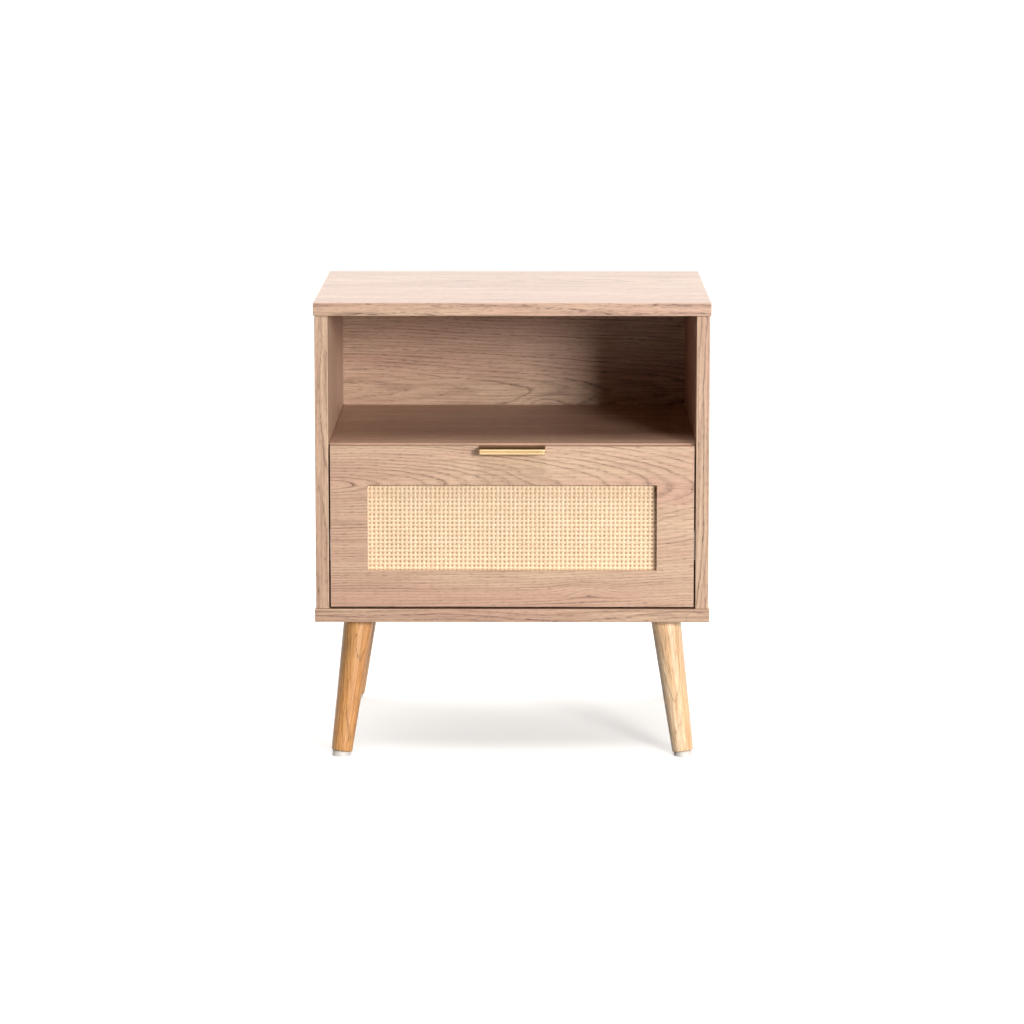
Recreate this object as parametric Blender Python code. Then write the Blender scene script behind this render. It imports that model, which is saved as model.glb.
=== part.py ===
"""Nightstand with one drawer, an open compartment and four splayed wooden legs.

Metres, +Z up, front towards -Y. The origin is the middle of the base of the whole object's box.
"""
import math

import bmesh
import bpy
from mathutils import Matrix, Vector

# Overall sizes
WIDTH = 0.450
DEPTH = 0.400
BOARD = 0.015
UNDERSIDE = 0.159
SIDE_HEIGHT = 0.335
SIDE_OVERHANG = 0.0014
FRONT_OVERHANG = 0.001
JOINT_GAP = 0.0003
EDGE_ROUND = 0.0008

# Brass edge pull
PULL_LENGTH = 0.075
PULL_REACH = 0.020
PULL_PLATE = 0.0016
PULL_TOP = -0.0002
PULL_LIP = 0.0071
PULL_FLANGE = 0.0268
PULL_FLANGE_THICKNESS = 0.0012
PULL_SWEEP = 0.060
PULL_SWEEP_START = 0.004
PULL_SCREW_DROP = 0.0215
PULL_SCREW_SPACING = 0.050

# Where the boards lie
FRONT = (PULL_REACH - FRONT_OVERHANG - DEPTH) / 2
BACK = FRONT + DEPTH
MIDDLE = (FRONT + BACK) / 2
HALF_WIDTH = WIDTH / 2
HALF_OUTSIDE = HALF_WIDTH - SIDE_OVERHANG
HALF_INSIDE = HALF_OUTSIDE - BOARD
BOTTOM_TOP = UNDERSIDE + BOARD
SIDE_LOW = BOTTOM_TOP + JOINT_GAP
SIDE_TOP = SIDE_LOW + SIDE_HEIGHT
TOP_LOW = SIDE_TOP + JOINT_GAP
TOP_TOP = TOP_LOW + BOARD
FACE = FRONT + FRONT_OVERHANG
SHELF_TOP = UNDERSIDE + 0.2033
SHELF_LOW = SHELF_TOP - BOARD
SHELF_SETBACK = 0.018

# Back panel in its groove
BACK_PANEL = 0.005
BACK_PANEL_FACE = FRONT + 0.384
GROOVE_DEPTH = 0.005
GROOVE_END = 0.0005

# Drawer
DRAWER_GAP_SIDE = 0.0019
DRAWER_GAP_BELOW = 0.0028
DRAWER_FRONT_HEIGHT = 0.1844
DRAWER_LOW = BOTTOM_TOP + DRAWER_GAP_BELOW
DRAWER_TOP = DRAWER_LOW + DRAWER_FRONT_HEIGHT
DRAWER_HALF = HALF_INSIDE - DRAWER_GAP_SIDE
DRAWER_REAR_FACE = FACE + BOARD
DRAWER_SIDE = 0.012
DRAWER_SIDE_HEIGHT = 0.120
DRAWER_SIDE_LENGTH = 0.330
DRAWER_SIDE_LOW = DRAWER_LOW + 0.0082
DRAWER_BOTTOM = 0.004
DRAWER_BOTTOM_RISE = 0.012
DRAWER_GROOVE = 0.006
TRAVEL = 0.280

# Cane window in the drawer front
WINDOW_WIDTH = 0.329
WINDOW_HEIGHT = 0.0986
WINDOW_TOP_MARGIN = 0.0445
WINDOW_RECESS = 0.009
REBATE_LAP = 0.008
CANE = 0.0016
BACKING = 0.003

# Runners
RUNNER_SPACE = 0.0127
RUNNER_LENGTH = 0.300
RUNNER_HEIGHT = 0.035
RUNNER_SHEET = 0.0012
RUNNER_START = 0.0195
RUNNER_RISE = 0.060
CASE_MEMBER_LIP = 0.0095
CARRIAGE_WALL = 0.0021
CARRIAGE_LIP = 0.0108
CARRIAGE_LESS = 0.0027
CARRIAGE_INSET = 0.006
DRAWER_MEMBER_LIP = 0.0045
DRAWER_MEMBER_LESS = 0.0055

# Legs
LEG_LEAN = math.radians(10.5)
LEG_TOP_X = 0.176
LEG_TOP_Y = 0.1575
LEG_TOP_RADIUS = 0.0172
LEG_FOOT_RADIUS = 0.0120
LEG_ROUND = 0.0012
PLATE_SIDE = 0.058
PLATE = 0.0025
LEG_TRIM = 0.006
GLIDE_RADIUS = 0.0104
GLIDE = 0.0050
HANGER_RADIUS = 0.004
HANGER_DEPTH = 0.028
HANGER_TOP = 0.0012
HANGER_BORE_TOP = 0.004
PLATE_BORE = 0.012

# Cam fittings and screws
CAM_RADIUS = 0.0075
CAM_DEPTH = 0.012
CAM_FROM_EDGE = 0.024
CAM_RECESS = 0.0002
CAM_SLOT = 0.0076
CAM_POCKET = 0.010
CROSS_ARM = 0.0028
CROSS_HALF_WIDTH = 0.0006
CROSS_DEPTH = 0.0015
BOLT_HEAD_RADIUS = 0.0030
BOLT_NECK_RADIUS = 0.0018
BOLT_SHANK_RADIUS = 0.0032
BOLT_THREAD_RADIUS = 0.0025
BOLT_THREAD_LENGTH = 0.0105
BOLT_CHANNEL_RADIUS = 0.004
FITTING_FROM_FRONT = 0.052
FITTING_FROM_BACK = 0.060
SHELF_FITTING_FROM_FRONT = 0.068
SHELF_FITTING_FROM_BACK = 0.075
CLEARANCE = 0.0003
BOARD_SCREW_LENGTH = 0.050
BOARD_SCREW_HEAD = 0.0048
BOARD_SCREW_NECK = 0.0034
BOARD_SCREW_THREAD = 0.0025
BOARD_SCREW_NECK_END = 0.0130
PULL_SCREW_RADIUS = 0.0015
PULL_SCREW_HEAD = 0.0035
PULL_SCREW_DEPTH = 0.0125

SIDES = (("left", -1), ("right", 1))
ENDS = (("front", -1), ("rear", 1))
OVERCUT = 0.005


def clear_scene():
    for item in list(bpy.data.objects):
        bpy.data.objects.remove(item, do_unlink=True)


def make_material(name, colour, roughness, metallic=0.0):
    material = bpy.data.materials.new(name)
    material.use_nodes = True
    shader = material.node_tree.nodes["Principled BSDF"]
    shader.inputs["Base Color"].default_value = (*colour, 1.0)
    shader.inputs["Roughness"].default_value = roughness
    shader.inputs["Metallic"].default_value = metallic
    material.diffuse_color = (*colour, 1.0)
    return material


def link_object(name, mesh, material=None):
    thing = bpy.data.objects.new(name, mesh)
    bpy.context.scene.collection.objects.link(thing)
    if material is not None and not mesh.materials:
        mesh.materials.append(material)
    return thing


def mesh_from(bm, name):
    mesh = bpy.data.meshes.new(name)
    bmesh.ops.recalc_face_normals(bm, faces=bm.faces)
    bm.to_mesh(mesh)
    bm.free()
    return mesh


def box_mesh(name, low, high, round_width=0.0):
    """A box about its own middle, with its edges eased."""
    size = Vector(high) - Vector(low)
    bm = bmesh.new()
    bmesh.ops.create_cube(bm, size=1.0, matrix=Matrix.Diagonal((*size, 1.0)))
    if round_width:
        bmesh.ops.bevel(bm, geom=bm.edges[:], offset=round_width, segments=2, profile=0.5,
                        affect="EDGES", clamp_overlap=True)
    return mesh_from(bm, name)


def add_box(name, low, high, material, round_width=0.0):
    thing = link_object(name, box_mesh(name, low, high, round_width), material)
    thing.location = (Vector(low) + Vector(high)) / 2
    return thing


def turned_mesh(name, profile, steps):
    """Spin a profile of (radius, height) points about Z; both ends lie on the axis."""
    bm = bmesh.new()
    verts = [bm.verts.new((radius, 0.0, height)) for radius, height in profile]
    edges = [bm.edges.new(pair) for pair in zip(verts, verts[1:])]
    bmesh.ops.spin(bm, geom=verts + edges, cent=(0, 0, 0), axis=(0, 0, 1), dvec=(0, 0, 0),
                   angle=math.tau, steps=steps, use_merge=False, use_duplicate=False)
    bmesh.ops.remove_doubles(bm, verts=bm.verts, dist=1e-6)
    mesh = mesh_from(bm, name)
    mesh.shade_smooth()
    mesh.set_sharp_from_angle(angle=math.radians(40))
    return mesh


def rod_mesh(name, radius, low, high, steps=20):
    return turned_mesh(name, [(0, low), (radius, low), (radius, high), (0, high)], steps)


def extruded_mesh(name, outline, low, high, axis):
    """Extrude an outline of two coordinates along X or Y, from low to high."""
    bm = bmesh.new()
    if axis == "X":
        verts = [bm.verts.new((low, first, second)) for first, second in outline]
        shift = Vector((high - low, 0, 0))
    else:
        verts = [bm.verts.new((first, low, second)) for first, second in outline]
        shift = Vector((0, high - low, 0))
    cap = bm.faces.new(verts)
    grown = bmesh.ops.extrude_face_region(bm, geom=[cap], use_keep_orig=True)
    moved = [item for item in grown["geom"] if isinstance(item, bmesh.types.BMVert)]
    bmesh.ops.translate(bm, verts=moved, vec=shift)
    return mesh_from(bm, name)


def mark_as_cutter(thing):
    thing.hide_render = True
    thing.display_type = "WIRE"


def apply_boolean(target, tool, operation="DIFFERENCE"):
    mark_as_cutter(tool)
    modifier = target.modifiers.new("cut_" + tool.name, "BOOLEAN")
    modifier.operation = operation
    modifier.solver = "EXACT"
    modifier.object = tool


def cut_box(target, name, low, high):
    apply_boolean(target, add_box("tool_" + name, low, high, None))


def cut_rod(target, name, place, radius, low, high):
    tool = link_object("tool_" + name, rod_mesh("tool_" + name, radius, low, high))
    tool.matrix_world = place
    apply_boolean(target, tool)


def axes_matrix(origin, x_axis, z_axis):
    """A placement whose local X and Z point the given ways."""
    x_way = Vector(x_axis).normalized()
    z_way = Vector(z_axis).normalized()
    turn = Matrix((x_way, z_way.cross(x_way), z_way)).transposed()
    return Matrix.Translation(origin) @ turn.to_4x4()


def arc(centre, radius, start, end, count):
    """Points on a round stretch of an outline; angles in degrees."""
    points = []
    for step in range(count + 1):
        angle = math.radians(start + (end - start) * step / count)
        points.append((centre[0] + radius * math.cos(angle), centre[1] + radius * math.sin(angle)))
    return points


# ---------------------------------------------------------------- carcass

def make_boards(mats):
    """The six boards of the case, before any hole is bored."""
    oak = mats["oak_board"]
    boards = {
        "top_panel": add_box("top_panel", (-HALF_WIDTH, FRONT, TOP_LOW), (HALF_WIDTH, BACK, TOP_TOP),
                             oak, EDGE_ROUND),
        "bottom_panel": add_box("bottom_panel", (-HALF_WIDTH, FRONT, UNDERSIDE),
                                (HALF_WIDTH, BACK, BOTTOM_TOP), oak, EDGE_ROUND),
        "shelf_panel": add_box("shelf_panel", (-HALF_INSIDE + JOINT_GAP, FRONT + SHELF_SETBACK, SHELF_LOW),
                               (HALF_INSIDE - JOINT_GAP, BACK_PANEL_FACE - JOINT_GAP, SHELF_TOP),
                               oak, EDGE_ROUND),
    }
    for side, sign in SIDES:
        inner, outer = sorted((sign * HALF_INSIDE, sign * HALF_OUTSIDE))
        name = "side_panel_" + side
        boards[name] = add_box(name, (inner, FACE, SIDE_LOW), (outer, BACK, SIDE_TOP), oak, EDGE_ROUND)
    reach = GROOVE_DEPTH - GROOVE_END
    boards["back_panel"] = add_box(
        "back_panel", (-HALF_INSIDE - reach, BACK_PANEL_FACE, BOTTOM_TOP - reach),
        (HALF_INSIDE + reach, BACK_PANEL_FACE + BACK_PANEL, TOP_LOW + reach), mats["oak_back"])
    return boards


def groove_boards(boards):
    """The groove round the inside of the case that holds the back panel."""
    near = BACK_PANEL_FACE - JOINT_GAP
    far = BACK_PANEL_FACE + BACK_PANEL + JOINT_GAP
    half = HALF_INSIDE + GROOVE_DEPTH
    for side, sign in SIDES:
        across = sorted((sign * (HALF_INSIDE - OVERCUT), sign * half))
        cut_box(boards["side_panel_" + side], "groove_" + side,
                (across[0], near, SIDE_LOW - OVERCUT), (across[1], far, SIDE_TOP + OVERCUT))
    cut_box(boards["top_panel"], "groove_top", (-half, near, TOP_LOW - OVERCUT),
            (half, far, TOP_LOW + GROOVE_DEPTH))
    cut_box(boards["bottom_panel"], "groove_bottom", (-half, near, BOTTOM_TOP - GROOVE_DEPTH),
            (half, far, BOTTOM_TOP + OVERCUT))


def cam_mesh():
    """Zinc cam: a drum with a pocket for the bolt's head and a cross recess in its face."""
    face = BOARD / 2 - CAM_RECESS
    drum = rod_mesh("cam_lock", CAM_RADIUS, face - CAM_DEPTH, face, 24)
    drum.transform(Matrix.Rotation(math.radians(90), 4, "Y"))
    return drum


def cam_bolt_mesh():
    """Bolt along +Z: head in the cam, shank in the board's edge, thread in the other board."""
    shoulder = CAM_FROM_EDGE + JOINT_GAP
    end = shoulder + BOLT_THREAD_LENGTH
    profile = [(0, -BOLT_HEAD_RADIUS), (BOLT_HEAD_RADIUS, -BOLT_HEAD_RADIUS), (BOLT_HEAD_RADIUS, 0),
               (BOLT_NECK_RADIUS, 0.0006), (BOLT_NECK_RADIUS, 0.0036), (BOLT_SHANK_RADIUS, 0.0048),
               (BOLT_SHANK_RADIUS, shoulder - 0.001), (BOLT_THREAD_RADIUS, shoulder),
               (BOLT_THREAD_RADIUS, end - 0.001), (BOLT_THREAD_RADIUS - 0.001, end), (0, end)]
    return turned_mesh("cam_bolt", profile, 16)


def fit_cam(name, place, cam_board, bolt_board, mats, meshes):
    """One cam and its bolt, with their bores. Local X leaves the cam's face, Z runs along the bolt."""
    cam = link_object(name + "_cam", meshes["cam"], mats["cast_zinc"])
    cam.matrix_world = place
    half = CAM_SLOT / 2
    pocket = link_object("tool_pocket_" + name, meshes["pocket"])
    pocket.matrix_world = place @ Matrix.Translation((0, 0, CAM_POCKET - half))
    apply_boolean(cam, pocket)
    for turn in (0, 90):
        slot = link_object("tool_cross_%d_%s" % (turn, name), meshes["cross"])
        slot.matrix_world = place @ Matrix.Translation((BOARD / 2, 0, 0)) @ Matrix.Rotation(
            math.radians(turn), 4, "X")
        apply_boolean(cam, slot)
    bolt = link_object(name + "_bolt", meshes["bolt"], mats["zinc_steel"])
    bolt.matrix_world = place
    into_face = place @ Matrix.Rotation(math.radians(90), 4, "Y")
    face = BOARD / 2 - CAM_RECESS
    cut_rod(cam_board, "bore_" + name, into_face, CAM_RADIUS + CLEARANCE, face - CAM_DEPTH - CLEARANCE,
            face + OVERCUT)
    cut_rod(cam_board, "channel_" + name, place, BOLT_CHANNEL_RADIUS, 0, CAM_FROM_EDGE + OVERCUT)
    cut_rod(bolt_board, "thread_" + name, place, BOLT_THREAD_RADIUS + CLEARANCE, CAM_FROM_EDGE - OVERCUT,
            CAM_FROM_EDGE + JOINT_GAP + BOLT_THREAD_LENGTH + CLEARANCE)


def fit_cams(boards, mats):
    """Cams in the sides hold the top; cams under the shelf hold it between the sides."""
    half = CAM_SLOT / 2
    meshes = {
        "cam": cam_mesh(), "bolt": cam_bolt_mesh(),
        "pocket": box_mesh("pocket", (-half, -half, -CAM_POCKET), (half, half, CAM_POCKET)),
        "cross": box_mesh("cross", (-CROSS_DEPTH, -CROSS_HALF_WIDTH, -CROSS_ARM),
                          (CROSS_DEPTH, CROSS_HALF_WIDTH, CROSS_ARM)),
    }
    for side, sign in SIDES:
        board = boards["side_panel_" + side]
        for end, y in (("front", FRONT + FITTING_FROM_FRONT), ("rear", BACK - FITTING_FROM_BACK)):
            centre = (sign * (HALF_INSIDE + BOARD / 2), y, SIDE_TOP - CAM_FROM_EDGE)
            fit_cam("top_%s_%s" % (end, side), axes_matrix(centre, (-sign, 0, 0), (0, 0, 1)),
                    board, boards["top_panel"], mats, meshes)
        for end, y in (("front", FRONT + SHELF_FITTING_FROM_FRONT),
                       ("rear", BACK - SHELF_FITTING_FROM_BACK)):
            centre = (sign * (HALF_INSIDE - JOINT_GAP - CAM_FROM_EDGE), y, SHELF_LOW + BOARD / 2)
            fit_cam("shelf_%s_%s" % (end, side), axes_matrix(centre, (0, 0, -1), (sign, 0, 0)),
                    boards["shelf_panel"], board, mats, meshes)


def fit_board_screws(boards, mats):
    """Board screws from below hold the bottom panel to the sides."""
    length = BOARD_SCREW_LENGTH

    def profile(extra):
        head, neck, thread = (radius + extra for radius in
                              (BOARD_SCREW_HEAD, BOARD_SCREW_NECK, BOARD_SCREW_THREAD))
        return [(0, -extra), (head, -extra), (head, 0.0008), (neck, 0.0034),
                (neck, BOARD_SCREW_NECK_END), (thread, BOARD_SCREW_NECK_END + 0.0006),
                (thread, length - 0.004), (0.0008 + extra, length + extra), (0, length + extra)]

    screw_mesh = turned_mesh("board_screw", profile(0), 16)
    bore_mesh = turned_mesh("board_screw_bore", profile(CLEARANCE), 16)
    for side, sign in SIDES:
        for end, y in (("front", FRONT + FITTING_FROM_FRONT), ("rear", BACK - FITTING_FROM_BACK)):
            place = (sign * (HALF_INSIDE + BOARD / 2), y, UNDERSIDE + CLEARANCE)
            screw = link_object("board_screw_%s_%s" % (end, side), screw_mesh, mats["zinc_steel"])
            screw.location = place
            for board in ("bottom_panel", "side_panel_" + side):
                bore = link_object("tool_screw_%s_%s_%s" % (board, end, side), bore_mesh)
                bore.location = place
                apply_boolean(boards[board], bore)


# ---------------------------------------------------------------- legs

def plane_off(mesh, point, normal, above):
    """Cut a mesh flat on a plane and keep what lies under it, or over it."""
    bm = bmesh.new()
    bm.from_mesh(mesh)
    name = mesh.name
    bpy.data.meshes.remove(mesh)
    cut = bmesh.ops.bisect_plane(bm, geom=bm.verts[:] + bm.edges[:] + bm.faces[:], plane_co=point,
                                 plane_no=normal, clear_outer=above, clear_inner=not above, dist=1e-7)
    rim = [item for item in cut["geom_cut"] if isinstance(item, bmesh.types.BMEdge)]
    bmesh.ops.contextual_create(bm, geom=rim)
    return mesh_from(bm, name)


def leg_mesh(foot, point, normal):
    """Straight taper with an eased foot, sawn level on top; heights run down the leg's own axis."""
    points = [(0, LEG_TRIM), (LEG_TOP_RADIUS, LEG_TRIM), (LEG_TOP_RADIUS, 0)]
    points += [(LEG_FOOT_RADIUS - LEG_ROUND + x, foot + LEG_ROUND + z)
               for x, z in arc((0, 0), LEG_ROUND, -4, -90, 4)]
    return plane_off(turned_mesh("leg", points + [(0, foot)], 32), point, normal, True)


def glide_mesh(foot, point, normal):
    """Nylon glide along the leg's axis, planed flat where it stands on the floor."""
    low = foot - JOINT_GAP - GLIDE * 2
    return plane_off(rod_mesh("glide", GLIDE_RADIUS, low, foot - JOINT_GAP, 28), point, normal, False)


def make_leg_plate(name, pivot, lean, bottom_panel, mats):
    """Steel plate let into the case, bored for the leaning hanger bolt."""
    low = Vector((pivot.x - PLATE_SIDE / 2, pivot.y - PLATE_SIDE / 2, pivot.z))
    high = low + Vector((PLATE_SIDE, PLATE_SIDE, PLATE))
    room = Vector((JOINT_GAP, JOINT_GAP, JOINT_GAP))
    cut_box(bottom_panel, "pocket_" + name, low - room - Vector((0, 0, OVERCUT)), high + room)
    plate = add_box(name, low, high, mats["zinc_steel"], EDGE_ROUND / 2)
    cut_rod(plate, "hanger_" + name, lean, HANGER_RADIUS + CLEARANCE, -PLATE_BORE, PLATE_BORE)


def make_legs(bottom_panel, mats):
    """Each leg leans outwards along the diagonal, under an empty at its plate."""
    foot = -(UNDERSIDE / math.cos(LEG_LEAN) - JOINT_GAP - GLIDE)
    hanger = rod_mesh("hanger_bolt", HANGER_RADIUS, -HANGER_DEPTH, HANGER_TOP, 16)
    for end, y_sign in ENDS:
        for side, sign in SIDES:
            where = "%s_%s" % (end, side)
            pivot = Vector((sign * LEG_TOP_X, MIDDLE + y_sign * LEG_TOP_Y, UNDERSIDE))
            outwards = Vector((sign, y_sign, 0)).normalized()
            upwards = Vector((0, 0, math.cos(LEG_LEAN))) - outwards * math.sin(LEG_LEAN)
            across = outwards.cross(Vector((0, 0, 1)))
            lean = axes_matrix(pivot, across, upwards)
            holder = link_object("leg_holder_" + where, None)
            holder.matrix_world = lean
            inverse = lean.inverted()
            floor_point = inverse @ Vector((pivot.x, pivot.y, 0))
            case_point = inverse @ (pivot - Vector((0, 0, JOINT_GAP)))
            level = inverse.to_3x3() @ Vector((0, 0, 1))
            pieces = [
                link_object("leg_" + where, leg_mesh(foot, case_point, level), mats["leg_wood"]),
                link_object("leg_bolt_" + where, hanger, mats["zinc_steel"]),
                link_object("glide_" + where, glide_mesh(foot, floor_point, level), mats["nylon"]),
            ]
            for piece in pieces:
                piece.parent = holder
            cut_rod(pieces[0], "hanger_bore_" + where, lean, HANGER_RADIUS + CLEARANCE,
                    -HANGER_DEPTH - CLEARANCE, HANGER_BORE_TOP)
            make_leg_plate("leg_plate_" + where, pivot, lean, bottom_panel, mats)


# ---------------------------------------------------------------- runners

def channel_outline(wall, web, lip, half):
    """A C-shaped section: the web stands at wall, the flanges reach from it to lip."""
    inner = half - RUNNER_SHEET
    return [(wall, -half), (lip, -half), (lip, -inner), (web, -inner), (web, inner), (lip, inner),
            (lip, half), (wall, half)]


def make_runners(mats):
    """Three telescoping channels a side: on the case, between, and on the drawer."""
    start = FRONT + RUNNER_START
    height = DRAWER_SIDE_LOW + RUNNER_RISE
    half = RUNNER_HEIGHT / 2
    sheet = RUNNER_SHEET
    members = (
        ("case_member", JOINT_GAP, JOINT_GAP + sheet, CASE_MEMBER_LIP, half, 0.0),
        ("carriage", CARRIAGE_WALL, CARRIAGE_WALL + sheet, CARRIAGE_LIP, half - CARRIAGE_LESS,
         CARRIAGE_INSET),
        ("drawer_member", RUNNER_SPACE - JOINT_GAP, RUNNER_SPACE - JOINT_GAP - sheet,
         DRAWER_MEMBER_LIP, half - DRAWER_MEMBER_LESS, 0.0),
    )
    for side, sign in SIDES:
        for part, wall, web, lip, reach, inset in members:
            outline = [(sign * (HALF_INSIDE - across), height + up)
                       for across, up in channel_outline(wall, web, lip, reach)]
            mesh = extruded_mesh(part, outline, start + inset, start + RUNNER_LENGTH - inset, "Y")
            link_object("runner_%s_%s" % (part, side), mesh, mats["zinc_steel"])


# ---------------------------------------------------------------- drawer

def make_drawer_front(mats):
    """Front board: cane window and its rebate, eased edges, the pull's notch, the bottom's groove."""
    low = (-DRAWER_HALF, FACE, DRAWER_LOW)
    high = (DRAWER_HALF, DRAWER_REAR_FACE, DRAWER_TOP)
    board = add_box("drawer_front", low, high, mats["oak_board"])
    window_high = DRAWER_TOP - WINDOW_TOP_MARGIN
    window_low = window_high - WINDOW_HEIGHT
    half = WINDOW_WIDTH / 2
    cut_box(board, "window", (-half, FACE - OVERCUT, window_low),
            (half, DRAWER_REAR_FACE + OVERCUT, window_high))
    cut_box(board, "rebate", (-half - REBATE_LAP, FACE + WINDOW_RECESS, window_low - REBATE_LAP),
            (half + REBATE_LAP, DRAWER_REAR_FACE + OVERCUT, window_high + REBATE_LAP))
    easing = board.modifiers.new("ease_edges", "BEVEL")
    easing.width = EDGE_ROUND
    easing.segments = 2
    easing.limit_method = "ANGLE"
    easing.angle_limit = math.radians(60)
    bottom = DRAWER_SIDE_LOW + DRAWER_BOTTOM_RISE
    groove_half = HALF_INSIDE - RUNNER_SPACE - DRAWER_SIDE + DRAWER_GROOVE
    notch = PULL_LENGTH / 2 + JOINT_GAP
    cut_box(board, "pull_notch", (-notch, FACE - OVERCUT, DRAWER_TOP + PULL_TOP - PULL_PLATE - JOINT_GAP),
            (notch, DRAWER_REAR_FACE + OVERCUT, DRAWER_TOP + OVERCUT))
    cut_box(board, "front_groove", (-groove_half, DRAWER_REAR_FACE - DRAWER_GROOVE, bottom - JOINT_GAP),
            (groove_half, DRAWER_REAR_FACE + OVERCUT, bottom + DRAWER_BOTTOM + JOINT_GAP))
    return board


def make_cane_window(mats):
    """Woven cane sheet and the board behind it, both set in the rebate from the rear."""
    lap = REBATE_LAP - JOINT_GAP
    half = WINDOW_WIDTH / 2 + lap
    high = DRAWER_TOP - WINDOW_TOP_MARGIN + lap
    low = high - WINDOW_HEIGHT - 2 * lap
    near = FACE + WINDOW_RECESS + JOINT_GAP
    add_box("cane_sheet", (-half, near, low), (half, near + CANE, high), mats["cane"])
    near += CANE + JOINT_GAP
    add_box("cane_backing_board", (-half, near, low), (half, near + BACKING, high), mats["backing"])


def make_drawer_box(mats):
    """Sides, back and bottom behind the front board."""
    board = mats["drawer_board"]
    outer = HALF_INSIDE - RUNNER_SPACE
    inner = outer - DRAWER_SIDE
    near = DRAWER_REAR_FACE + JOINT_GAP
    far = near + DRAWER_SIDE_LENGTH
    high = DRAWER_SIDE_LOW + DRAWER_SIDE_HEIGHT
    bottom = DRAWER_SIDE_LOW + DRAWER_BOTTOM_RISE
    for side, sign in SIDES:
        across = sorted((sign * inner, sign * outer))
        panel = add_box("drawer_side_" + side, (across[0], near, DRAWER_SIDE_LOW),
                        (across[1], far, high), board, EDGE_ROUND)
        groove = sorted((sign * (inner - OVERCUT), sign * (inner + DRAWER_GROOVE)))
        cut_box(panel, "drawer_groove_" + side, (groove[0], near - OVERCUT, bottom - JOINT_GAP),
                (groove[1], far + OVERCUT, bottom + DRAWER_BOTTOM + JOINT_GAP))
    add_box("drawer_back", (-inner + JOINT_GAP, far - DRAWER_SIDE, bottom + DRAWER_BOTTOM + JOINT_GAP),
            (inner - JOINT_GAP, far, high), board, EDGE_ROUND)
    reach = DRAWER_GROOVE - GROOVE_END
    add_box("drawer_bottom", (-inner - reach, DRAWER_REAR_FACE - reach, bottom),
            (inner + reach, far, bottom + DRAWER_BOTTOM), mats["backing"])


def pull_outline():
    """Side view: rear flange, plate let into the board's top, drooping reach, lip with two ridges."""
    over = PULL_TOP
    under = over - PULL_PLATE
    rear = BOARD + JOINT_GAP
    lip_z = -PULL_LIP
    ridge = (over + PULL_LIP - 0.0010) / 4
    upper_ridge = over - 0.0008 - ridge
    lower_ridge = lip_z + ridge
    front = -PULL_REACH + ridge
    points = [(rear, -PULL_FLANGE), (rear + PULL_FLANGE_THICKNESS, -PULL_FLANGE)]
    points += arc((rear + PULL_FLANGE_THICKNESS - 0.001, over - 0.001), 0.001, 0, 90, 4)
    points += arc((-PULL_SWEEP_START, over - PULL_SWEEP), PULL_SWEEP, 90, 103, 5)
    points += arc((front, upper_ridge), ridge, 110, 250, 6)
    points += arc((front, lower_ridge), ridge, 110, 270, 7)
    points += arc((front + 0.0008, lip_z + 0.0006), 0.0006, -90, 0, 3)
    points += arc((front + 0.0024, under - 0.0022), 0.0010, 180, 96, 4)
    points += [(-PULL_SWEEP_START, under), (rear, under)]
    return points


def make_pull(mats, drawer_front):
    """Brass edge pull over the top of the drawer front, with two screws from behind."""
    outline = [(FACE + y, DRAWER_TOP + z) for y, z in pull_outline()]
    mesh = extruded_mesh("pull", outline, -PULL_LENGTH / 2, PULL_LENGTH / 2, "X")
    mesh.shade_smooth()
    mesh.set_sharp_from_angle(angle=math.radians(40))
    pull = link_object("pull", mesh, mats["brass"])
    screw_z = DRAWER_TOP - PULL_SCREW_DROP
    rear = DRAWER_REAR_FACE + JOINT_GAP + PULL_FLANGE_THICKNESS
    tip = -PULL_SCREW_DEPTH
    profile = [(0, tip), (0.0007, tip + 0.0003), (PULL_SCREW_RADIUS, tip + 0.002),
               (PULL_SCREW_RADIUS, JOINT_GAP), (PULL_SCREW_HEAD, JOINT_GAP), (PULL_SCREW_HEAD, 0.0010),
               (0.0022, 0.0019), (0, 0.0022)]
    screw_mesh = turned_mesh("pull_screw", profile, 16)
    for side, sign in SIDES:
        place = axes_matrix((sign * PULL_SCREW_SPACING / 2, rear, screw_z), (1, 0, 0), (0, 1, 0))
        screw = link_object("pull_screw_" + side, screw_mesh, mats["zinc_steel"])
        screw.matrix_world = place
        cut_rod(pull, "flange_hole_" + side, place, PULL_SCREW_RADIUS + CLEARANCE, -OVERCUT, OVERCUT)
        cut_rod(drawer_front, "pilot_" + side, place, PULL_SCREW_RADIUS + CLEARANCE,
                tip - CLEARANCE, OVERCUT)


def make_materials():
    return {
        "oak_board": make_material("oak_board", (0.68, 0.45, 0.32), 0.45),
        "oak_back": make_material("oak_back", (0.60, 0.40, 0.29), 0.50),
        "drawer_board": make_material("drawer_board", (0.82, 0.74, 0.62), 0.50),
        "backing": make_material("backing", (0.66, 0.50, 0.36), 0.60),
        "leg_wood": make_material("leg_wood", (0.68, 0.36, 0.15), 0.35),
        "cane": make_material("cane", (0.92, 0.74, 0.48), 0.50),
        "brass": make_material("brass", (0.90, 0.70, 0.42), 0.25, 1.0),
        "zinc_steel": make_material("zinc_steel", (0.62, 0.62, 0.63), 0.35, 1.0),
        "cast_zinc": make_material("cast_zinc", (0.66, 0.65, 0.63), 0.45, 1.0),
        "nylon": make_material("nylon", (0.86, 0.84, 0.80), 0.55),
    }


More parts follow.
